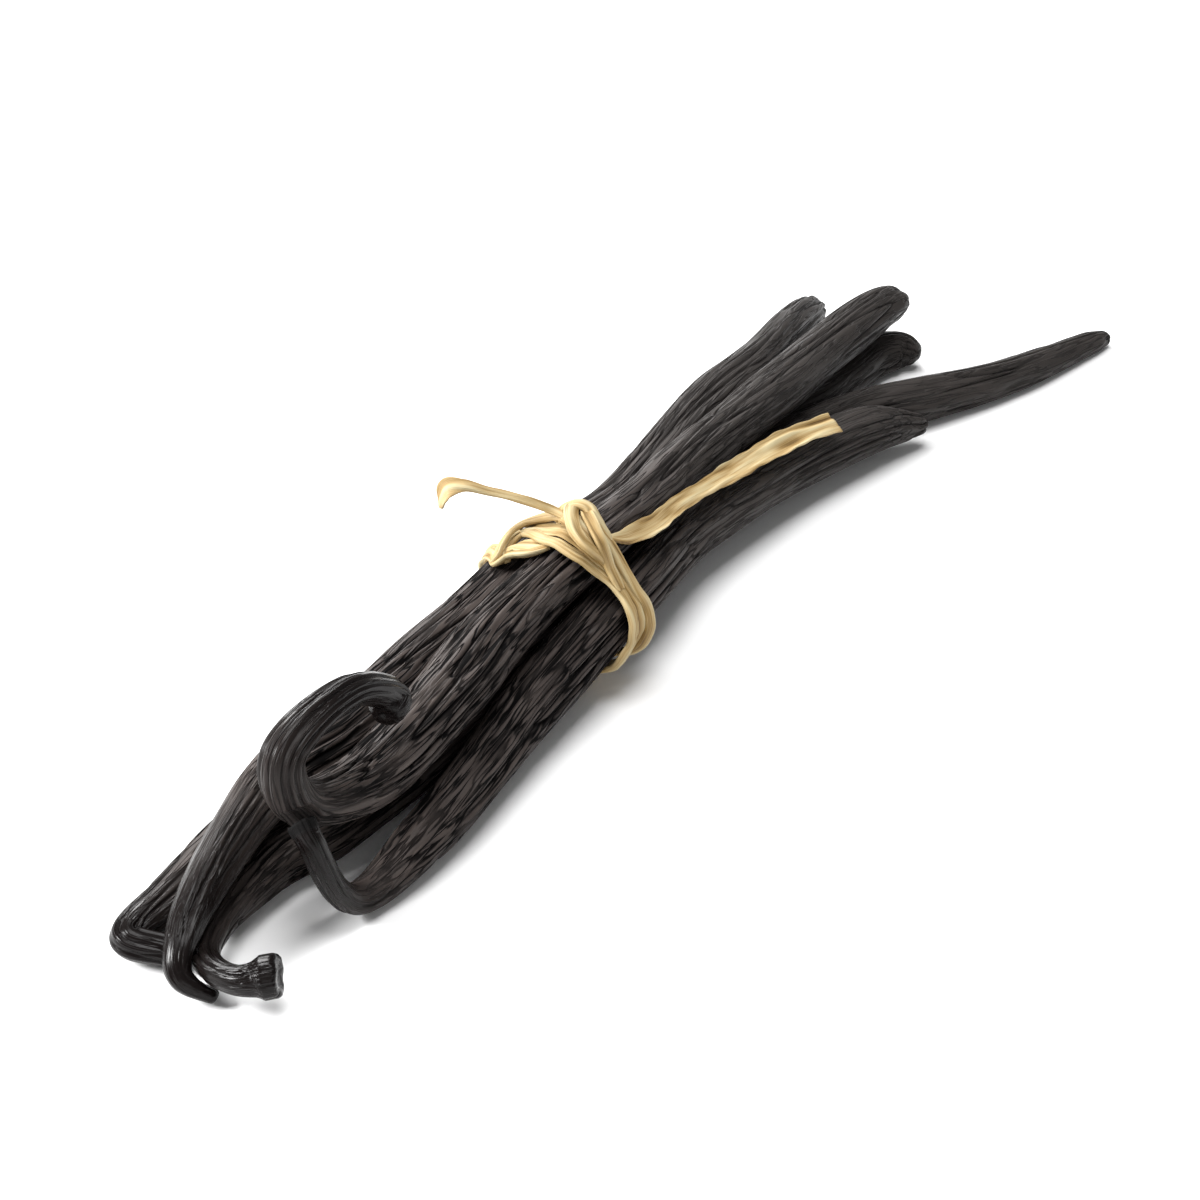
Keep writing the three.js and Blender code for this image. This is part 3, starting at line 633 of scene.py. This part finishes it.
noise.seed_set(DRIFT_SEED)
pod_blank = straight_tube("pod_blank", POD_SIDES, (POD_RING_GROUPS, POD_RINGS // POD_RING_GROUPS),
                          POD_CAP_RINGS)
pod_routes = {name: follow(pod["rows"], ROUTE_STOPS) for name, pod in PODS.items()}
pods = []
for order, (node_name, pod) in enumerate(PODS.items()):
    husk, made, straight, skin, beyond = straight_pod(node_name + "_husk", pod_blank, pod, order,
                                                      pod_routes[node_name])
    lay_along(husk, made, node_name, pod_routes)
    moved = (POD_SHIFT * order, POD_SHIFT * order, 0)
    keep_attribute(husk, "pod_place", 'FLOAT_VECTOR', straight + moved)
    keep_attribute(husk, "husk_skin", 'FLOAT_VECTOR', skin)
    keep_attribute(husk, "beyond_tie", 'FLOAT', beyond)
    use_only(husk)
    bpy.ops.object.shade_smooth()
    husk.data.materials.clear()
    husk.data.materials.append(husk_material("cured_vanilla_" + node_name, pod["ridge"]))
    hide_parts(node_name)
    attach(husk, "root")
    pods.append(husk)
bpy.data.objects.remove(pod_blank)


# ---- raffia tie ------------------------------------------------------------------------------
# One strand of raffia, the dried skin of a palm leaf: a soft papery ribbon that creases
# lengthwise.  It goes twice round the pods, is knotted on top, and both its ends are cut off.

# The pods cross the tie at a small angle: along them, to their right, and up.  Their middle
# there lies that many mm above the table.
TIE_TURN = math.radians(7)
TIE_AXIS = np.array([math.cos(TIE_TURN), math.sin(TIE_TURN), 0.0])
TIE_SIDE = np.array([math.sin(TIE_TURN), -math.cos(TIE_TURN), 0.0])
UP = np.array([0, 0, 1])
TIE_HEIGHT = 8.0

# The outline of the pods is felt slice by slice, each reaching so many mm to both sides, and in
# each direction only by what faces it.  Unrolled, a degree round it is about as long as that.
GIRTH_WINDOW = 1.2
GIRTH_PLACES = np.arange(-14, 16.1, 0.5)
GIRTH_TURNS = np.radians(np.arange(0, 360, 2))
LEAST_FACING = 0.05
MM_PER_DEGREE = 0.17
WINDING_STOPS = 160

# The tube that every strand is shaped from.
STRAND_SIDES = 40
STRAND_RINGS = 240
STRAND_RING_GROUPS = 12
STRAND_CAP_RINGS = 2
STRAND_STOPS = 400

# Stretches wound on the pods: degrees round the bundle from its right side over the top, mm
# along it from the tie's middle, height of the strand's middle off the pods, width, thickness.
WOUND = {
    "near_turn": [
        (128, -3.2, 0.3, 0.8, 0.4), (132, -2.5, 0.5, 1.0, 0.5), (135.4, -1.2, 0.7, 1.0, 0.7),
        (133.3, 0.2, 1.0, 1.0, 0.7), (129.7, 1.4, 1.2, 1.2, 0.7), (120.7, 1.4, 1.3, 1.5, 0.7),
        (106, 0.2, 1.2, 1.6, 0.8), (90.3, -0.8, 1.1, 1.6, 0.8), (78.1, -1.1, 1.0, 1.6, 0.8),
        (66.7, -1.1, 0.9, 1.6, 0.8), (55.1, -0.5, 0.8, 1.7, 0.8), (42.7, 0.1, 0.75, 1.7, 0.8),
        (31.4, 0.5, 0.75, 1.7, 0.8), (20.4, 0.4, 0.75, 1.6, 0.8), (12.8, 0, 0.8, 1.6, 0.8),
        (4.6, -0.3, 0.8, 1.6, 0.8), (-3.1, -1.0, 0.8, 1.6, 0.8), (-11.4, -1.5, 0.8, 1.6, 0.8),
        (-20, -2.6, 0.7, 1.8, 0.8), (-60, -1.6, 0.75, 2.0, 0.8), (-110, 0.0, 0.75, 2.0, 0.8),
        (-160, 0.6, 0.75, 2.0, 0.8), (-200, 0.4, 0.7, 1.8, 0.7), (-218, -0.6, 0.5, 1.2, 0.6)],
    "bottom_strip": [
        (95.7, -0.8, 0.6, 0.9, 0.5), (100.3, -2.0, 0.75, 1.2, 0.7), (108.9, -2.5, 0.75, 1.4, 0.7),
        (120.7, -2.5, 0.75, 1.4, 0.7), (128.9, -2.8, 0.7, 1.4, 0.7), (133, -3.4, 0.55, 1.4, 0.7),
        (137, -3.5, 0.4, 1.3, 0.6), (142, -2.8, 0.3, 1.3, 0.6), (150, -1.4, 0.25, 1.3, 0.6),
        (165, -0.2, 0.2, 1.2, 0.5)],
    "left_sheet": [
        (140, -1.8, 0.4, 1.2, 0.4), (134, -1.3, 0.65, 1.6, 0.5), (126, -0.8, 0.8, 2.3, 0.5),
        (116, -0.9, 0.8, 2.4, 0.5), (106, -1.2, 0.75, 2.0, 0.5), (97, -1.2, 0.6, 1.2, 0.4)],
    "inner_sheet": [
        (146, -0.8, 0.4, 1.2, 0.4), (138, -2.2, 0.7, 1.4, 0.4), (137, -0.6, 1.0, 1.6, 0.4),
        (135.1, 0.8, 1.2, 1.9, 0.4), (132, 1.9, 1.3, 2.2, 0.4), (123.9, 2.2, 1.35, 2.6, 0.4),
        (111.3, 2.1, 1.35, 2.8, 0.4), (92.6, 1.5, 1.3, 2.7, 0.4), (78.2, 1.0, 1.3, 2.4, 0.4),
        (64.8, 0.7, 1.2, 2.2, 0.4), (53.8, 0.9, 1.1, 2.0, 0.4), (42.5, 1.3, 1.0, 1.9, 0.4),
        (30.7, 1.4, 0.85, 1.8, 0.4), (19, 1.3, 0.75, 1.7, 0.4), (8, 1.1, 0.7, 1.7, 0.4),
        (-1.7, 0.9, 0.65, 1.6, 0.4), (-14, 0.5, 0.65, 1.6, 0.4), (-25, -1.0, 0.5, 1.2, 0.4)],
    "far_turn": [
        (85, 3.2, 1.6, 1.2, 0.5), (97.9, 3.3, 2.1, 1.6, 0.6), (111, 3.8, 2.0, 1.6, 0.7),
        (121.6, 3.7, 1.9, 1.6, 0.7), (128.3, 3.0, 1.9, 1.6, 0.7), (131.8, 1.8, 1.9, 1.5, 0.7),
        (134.8, -0.2, 1.6, 1.4, 0.7), (135.8, -1.8, 1.2, 1.3, 0.7), (136.6, -3.0, 0.8, 1.3, 0.7),
        (139, -3.0, 0.5, 1.3, 0.7), (143, -2.2, 0.4, 1.4, 0.7), (152, -0.9, 0.4, 1.8, 0.8),
        (175, 0.0, 0.6, 2.0, 0.8), (200, -0.4, 0.75, 2.0, 0.8), (240, -1.8, 0.75, 2.0, 0.8),
        (290, 1.0, 0.75, 2.0, 0.8), (325, 0.6, 0.9, 1.6, 0.8), (339, 1.2, 1.3, 1.4, 0.8),
        (348, 1.9, 1.3, 1.4, 0.8), (357.2, 2.3, 1.05, 1.4, 0.8), (365, 2.5, 0.95, 1.4, 0.8),
        (374.6, 2.3, 1.0, 1.4, 0.8), (383.9, 2.5, 1.05, 1.5, 0.8), (395.7, 2.8, 1.2, 1.5, 0.8),
        (407.2, 3.0, 1.5, 1.5, 0.8), (416.7, 3.0, 1.8, 1.5, 0.8), (424.1, 2.8, 2.1, 1.5, 0.8),
        (431.9, 3.3, 2.4, 1.5, 0.8), (438.6, 3.9, 2.5, 1.4, 0.7), (446, 4.4, 2.2, 1.2, 0.6),
        (455, 4.8, 1.5, 0.8, 0.5)],
    "knot_heart": [
        (102, 3.8, 1.3, 1.6, 0.6), (96, 3.6, 1.8, 2.2, 0.8), (85.8, 2.6, 2.2, 2.8, 0.9),
        (76.3, 1.7, 2.4, 2.8, 0.9), (67.5, 1.2, 2.3, 2.6, 0.9), (58.6, 1.1, 2.0, 2.2, 0.8),
        (50.1, 1.2, 1.6, 1.8, 0.7), (42, 1.4, 1.1, 1.2, 0.5)],
    "knot_front": [
        (88, 4.9, 2.4, 1.3, 0.6), (90.4, 3.9, 3.0, 1.5, 0.7), (86.8, 2.1, 3.2, 1.6, 0.8),
        (80.9, 0.6, 3.2, 1.6, 0.8), (74.6, -0.4, 3.0, 1.6, 0.8), (67.2, -0.8, 2.7, 1.6, 0.8),
        (59.9, -0.4, 2.3, 1.5, 0.8), (52.4, 0.4, 1.9, 1.4, 0.7), (45.7, 0.8, 1.5, 1.3, 0.6),
        (38.3, 1.0, 1.0, 1.1, 0.5)],
    "knot_side": [
        (85, 4.6, 2.2, 1.1, 0.6), (80, 3.6, 2.9, 1.4, 0.8), (74.8, 2.6, 3.1, 1.5, 0.8),
        (67.4, 1.5, 3.1, 1.5, 0.8), (61.1, 0.9, 3.0, 1.5, 0.8), (55.5, 0.7, 2.6, 1.5, 0.8),
        (50.2, 0.7, 2.1, 1.5, 0.8), (43.4, 0.7, 1.6, 1.4, 0.7), (34.9, 0.6, 1.3, 1.3, 0.7),
        (25.2, 0.5, 1.0, 1.0, 0.5)],
    "knot_top": [
        (104, 3.2, 1.8, 1.1, 0.6), (98.1, 3.9, 2.8, 1.4, 0.8), (92.7, 4.0, 3.2, 1.6, 0.8),
        (86.8, 4.3, 3.3, 1.6, 0.8), (81.3, 4.4, 3.1, 1.6, 0.8), (75.6, 4.0, 2.7, 1.5, 0.8),
        (68.8, 3.5, 2.3, 1.4, 0.8), (61.7, 3.4, 1.9, 1.3, 0.7), (52, 3.4, 1.2, 0.9, 0.5)],
}

# The loose ends: x, y, z in mm from the tie's middle, width, degrees the ribbon is turned, and
# how far its edges curl up.  They are all of one thickness.
LOOSE_THICKNESS = 0.5
LOOSE = {
    "right_end": [
        (2.6, -1.4, 16.4, 1.3, 40, 0.1), (5.0, -3.4, 14.9, 1.6, 10, 0.2),
        (7.3, -3.8, 14.0, 1.9, -20, 0.3), (10.4, -3.7, 13.3, 2.4, -30, 0.4),
        (13.7, -3.5, 12.7, 2.5, -30, 0.3), (20.3, -2.3, 11.8, 2.1, -25, 0.2),
        (31.3, -1.9, 10.5, 2.7, -15, 0.3), (38.5, -1.9, 9.9, 3.0, -20, 0.4),
        (45.2, -2.4, 9.4, 3.0, -25, 0.3), (50.8, -3.6, 8.9, 3.0, -25, 0.1)],
    "left_end": [
        (2.4, -1.0, 17.0, 1.2, 0, 0.1), (2.6, 2.1, 17.6, 1.3, 20, 0.2),
        (1.6, 3.5, 18.4, 1.1, 40, 0.2), (0.3, 5.2, 19.3, 1.0, 60, 0.1),
        (-1.6, 7.9, 20.2, 1.1, 80, 0.1), (-3.4, 10.2, 21.0, 1.5, 60, 0.2),
        (-4.4, 11.6, 20.7, 2.4, 40, 0.3), (-4.7, 12.1, 19.5, 2.2, 30, 0.3),
        (-4.8, 12.3, 18.2, 0.7, 30, 0.1)],
}


def feel_girth(pods):
    """How far the pods reach from the middle of the tie, in each direction, place by place."""
    corners = np.vstack([read_places(pod) for pod in pods]) - TIE_MIDDLE
    along = corners @ TIE_AXIS
    section = np.column_stack([corners @ TIE_SIDE, corners[:, 2] - TIE_HEIGHT])
    directions = np.array([np.cos(GIRTH_TURNS), np.sin(GIRTH_TURNS)])
    return np.array([(section[abs(along - place) < GIRTH_WINDOW] @ directions).max(axis=0)
                     for place in GIRTH_PLACES])


def girth_point(girth, turn, along, height):
    """The place of a band stretched round the pods, from the tie's middle."""
    reach = np.array([np.interp(along, GIRTH_PLACES, column) for column in girth.T])
    facing = np.cos(turn - GIRTH_TURNS)
    ahead = facing > LEAST_FACING
    radius = ((reach + height)[ahead] / facing[ahead]).min()
    return (TIE_AXIS * along + TIE_SIDE * radius * math.cos(turn)
            + UP * (TIE_HEIGHT + radius * math.sin(turn)))


def wound_route(girth, rows):
    """Points, tangents, ways out, sizes, curls and length of a strand wound on the pods."""
    unrolled = [(degrees * MM_PER_DEGREE, *others) for degrees, *others in rows]
    places, _, sizes, _ = follow(unrolled, WINDING_STOPS)
    lines = []
    for (turned, along, height), size in zip(places, sizes):
        turn = math.radians(turned / MM_PER_DEGREE)
        lines.append((*girth_point(girth, turn, along, height), *size, turn))
    points, tangents, others, length = follow(lines, STRAND_STOPS)
    turns = others[:, 2:3]
    outward = TIE_SIDE * np.cos(turns) + UP * np.sin(turns)
    lifts = outward - tangents * np.einsum('ij,ij->i', outward, tangents)[:, None]
    lifts /= np.linalg.norm(lifts, axis=1, keepdims=True)
    return points, tangents, lifts, others[:, :2], np.zeros(STRAND_STOPS), length


def loose_route(rows):
    """The same for an end that lies free and is turned as it goes."""
    points, tangents, others, length = follow(rows, STRAND_STOPS)
    sides, lifts = carry_sides(tangents)
    turns = np.radians(others[:, 1:2])
    lifts = lifts * np.cos(turns) + sides * np.sin(turns)
    sizes = np.column_stack([others[:, 0], np.full(STRAND_STOPS, LOOSE_THICKNESS)])
    return points, tangents, lifts, sizes, others[:, 2], length


# A strand's section is fuller than an ellipse: powers of its width and of its thickness.  Its
# width varies in long waves and short nicks: share, and mm in each radian.
WIDTH_POWER = 0.8
THICKNESS_POWER = 0.7
WAVE = 0.06
WAVE_LENGTH = 1.7
NICK = 0.04
NICK_LENGTH = 0.6

# Relief of a strand laid flat: length, width and height of its clouds and its depth, in mm,
# which way it goes, and how far it is moved from one strand to the next.
STRAND_RELIEF = (
    ("pleats", (9, 0.8, 30), 0.8, 'Z', 11),
    ("creases", (5, 0.3, 30), 0.14, 'Z', 7),
    ("fibres", (6, 0.12, 0.12), 0.05, 'NORMAL', 5))
STRAND_SHIFT = 11

# The folds are levelled over so many mm to both sides, and the ribbon curls about its middle.
FOLD_WINDOW = 0.8
CURL_MIDDLE = 0.3


def raffia_strand(name, blank, route, order):
    """A strand: flat and creased as if laid straight, then led along its route."""
    points, tangents, lifts, sizes, curls, length = route
    travelled = np.linspace(0, length, STRAND_STOPS)
    strand = copy_of(blank, name)
    unit = read_places(strand)
    along = unit[:, 0] * length
    width, thickness = values_at(along, travelled, sizes).T
    reach = np.hypot(unit[:, 1], unit[:, 2])
    angle = np.arctan2(unit[:, 2], unit[:, 1])
    across = np.sign(np.cos(angle)) * np.abs(np.cos(angle)) ** WIDTH_POWER * reach
    through = np.sign(np.sin(angle)) * np.abs(np.sin(angle)) ** THICKNESS_POWER * reach
    uneven = (1 + WAVE * np.sin(along / WAVE_LENGTH + order)
              + NICK * np.sin(along / NICK_LENGTH + 2 * across))
    flat = np.column_stack([along, across * width / 2 * uneven, through * thickness / 2])
    write_places(strand, flat)
    for kind, size, depth, direction, shift in STRAND_RELIEF:
        press_relief(strand, kind, size, depth, direction, shift * order)

    # The folds are kept, but not the slow rise and fall that the relief gives the whole strand.
    made = read_places(strand)
    fold = made[:, 2] - flat[:, 2]
    levels = [fold[abs(along - place) < FOLD_WINDOW].mean() for place in travelled]
    fold -= np.interp(along, travelled, levels)
    curl = np.interp(along, travelled, curls) * (across ** 2 - CURL_MIDDLE)
    made[:, 2] = flat[:, 2] + fold + curl

    lift = values_at(along, travelled, lifts)
    tangent = values_at(along, travelled, tangents)
    side = np.cross(lift, tangent)
    placed = values_at(along, travelled, points) + side * made[:, 1:2] + lift * made[:, 2:3]
    placed += tangent * (made[:, 0] - along)[:, None] + TIE_MIDDLE
    placed[:, 2] = np.maximum(placed[:, 2], 0)
    write_places(strand, placed)
    keep_attribute(strand, "raffia_place", 'FLOAT_VECTOR', flat + (0, STRAND_SHIFT * order, 0))
    keep_attribute(strand, "raffia_fold", 'FLOAT', fold)
    return strand


# Length and width in mm, detail and raggedness of the patches and the fibres.
RAFFIA_PATTERNS = ((7, 1.5, 2, 0.3), (8, 0.12, 3, 0.2))


# Dried raffia, the peeled skin of a palm leaf bleached in the sun: pale straw, matt and papery,
# with painted golden brown shade down in its folds, and faint long fibres.
def raffia_material(name):
    material = bpy.data.materials.new(name)
    material.use_nodes = True
    tree = material.node_tree
    tree.nodes.clear()
    place = add_node(tree, 'ShaderNodeAttribute', {'attribute_name': "raffia_place"})['Vector']
    fold = add_node(tree, 'ShaderNodeAttribute', {'attribute_name': "raffia_fold"})['Fac']
    patches, fibres = lengthwise_patterns(tree, place, RAFFIA_PATTERNS)
    # Low places of the folds are painted darker golden brown: painted shade in the folds.
    shade_and_tone = add_node(tree, 'ShaderNodeMapRange', {}, {
        'Value': fold, 'From Min': -0.2, 'From Max': 0.2, 'To Min': -0.3, 'To Max': 0.3})['Result']
    for pattern, share in ((fibres, 0.6), (patches, 0.35)):
        shade_and_tone = add_node(tree, 'ShaderNodeMath', {'operation': 'MULTIPLY_ADD'}, {
            0: pattern, 1: share, 2: shade_and_tone})['Value']
    colour = add_node(tree, 'ShaderNodeValToRGB', {}, {'Fac': shade_and_tone}, [
        (0.1, "#553e1b"), (0.32, "#8d7243"), (0.5, "#a99267"), (0.7, "#b4a681")])['Color']
    grain = add_node(tree, 'ShaderNodeBump', {}, {
        'Strength': 0.7, 'Distance': 0.08 * MM, 'Height': fibres})['Normal']
    fibre = add_node(tree, 'ShaderNodeBsdfPrincipled', {}, {
        'Base Color': colour, 'Roughness': 0.62, 'Normal': grain, 'IOR': 1.4})['BSDF']
    add_node(tree, 'ShaderNodeOutputMaterial', {}, {'Surface': fibre})
    return material


dried_raffia = raffia_material("dried_raffia")
girth = feel_girth(pods)
strand_routes = {name: wound_route(girth, rows) for name, rows in WOUND.items()}
strand_routes.update({name: loose_route(rows) for name, rows in LOOSE.items()})
strand_blank = straight_tube("strand_blank", STRAND_SIDES,
                             (STRAND_RING_GROUPS, STRAND_RINGS // STRAND_RING_GROUPS),
                             STRAND_CAP_RINGS)
for order, (name, route) in enumerate(strand_routes.items()):
    strand = raffia_strand("raffia_" + name, strand_blank, route, order)
    use_only(strand)
    bpy.ops.object.shade_smooth()
    strand.data.materials.clear()
    strand.data.materials.append(dried_raffia)
    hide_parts("raffia_tie")
    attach(strand, "root")
bpy.data.objects.remove(strand_blank)


# ---- floor, light and camera -----------------------------------------------------------------
# A pale sweep of card.  Soft light comes from a window on the left and a smaller one behind,
# with a wide soft box and a white sky overhead and a weak fill in front.

FLOOR_WIDTH = 6.0
FLOOR_GAP = 0.0002

bpy.ops.object.select_all(action='DESELECT')
bpy.ops.mesh.primitive_grid_add(x_subdivisions=4, y_subdivisions=4, size=FLOOR_WIDTH,
                                location=(0, 0, -FLOOR_GAP))
floor = bpy.context.object
floor.name = "pale_floor"
bpy.ops.object.transform_apply(location=True, rotation=True, scale=True)

# Matt white card, uncoated paper board: it takes soft shadows and lights the pods from below.
card = bpy.data.materials.new("matt_white_card")
card.use_nodes = True
paper = card.node_tree.nodes["Principled BSDF"].inputs
paper["Base Color"].default_value = linear("#eeeeee")
paper["Roughness"].default_value = 0.9
floor.data.materials.append(card)

sky = bpy.data.worlds.new("soft_white_sky")
bpy.context.scene.world = sky
sky.use_nodes = True
air = sky.node_tree.nodes["Background"].inputs
air["Color"].default_value = linear("#ffffff")
air["Strength"].default_value = 0.28

# Each box: place and target, width and height in metres, and power in watts.
SOFT_BOXES = {
    "window_left": ((-0.52, 0.46, 0.42), (0, 0, 0), 0.26, 0.24, 13),
    "overhead": ((0.0, 0.0, 0.8), (0, 0, 0), 0.5, 0.5, 7),
    "front_fill": ((-0.55, -0.45, 0.25), (-0.03, 0, 0), 0.5, 0.3, 0.8),
    "back_window": ((0.3, 0.55, 0.38), (0, 0, 0), 0.25, 0.25, 4),
}
for name, (place, target, width, height, power) in SOFT_BOXES.items():
    lamp = bpy.data.lights.new(name, 'AREA')
    lamp.shape = 'RECTANGLE'
    lamp.size, lamp.size_y = width, height
    lamp.energy = power
    box = bpy.data.objects.new(name, lamp)
    box.location = place
    box.rotation_euler = (Vector(target) - Vector(place)).to_track_quat('-Z', 'Y').to_euler()
    bpy.context.collection.objects.link(box)

VIEW_TARGET = Vector((-0.01206, -0.00610, 0.0072))
VIEW_FROM = Vector((-0.28650, -0.20549, 0.21917))
FOCAL_LENGTH = 108
SENSOR_WIDTH = 36
NEAREST_SEEN = 0.01

lens = bpy.data.cameras.new("camera")
lens.lens = FOCAL_LENGTH
lens.sensor_width = SENSOR_WIDTH
lens.clip_start = NEAREST_SEEN
camera = bpy.data.objects.new("camera", lens)
camera.location = VIEW_FROM
camera.rotation_euler = (VIEW_TARGET - VIEW_FROM).to_track_quat('-Z', 'Y').to_euler()
bpy.context.collection.objects.link(camera)
bpy.context.scene.camera = camera
bpy.context.scene.view_settings.view_transform = 'Standard'
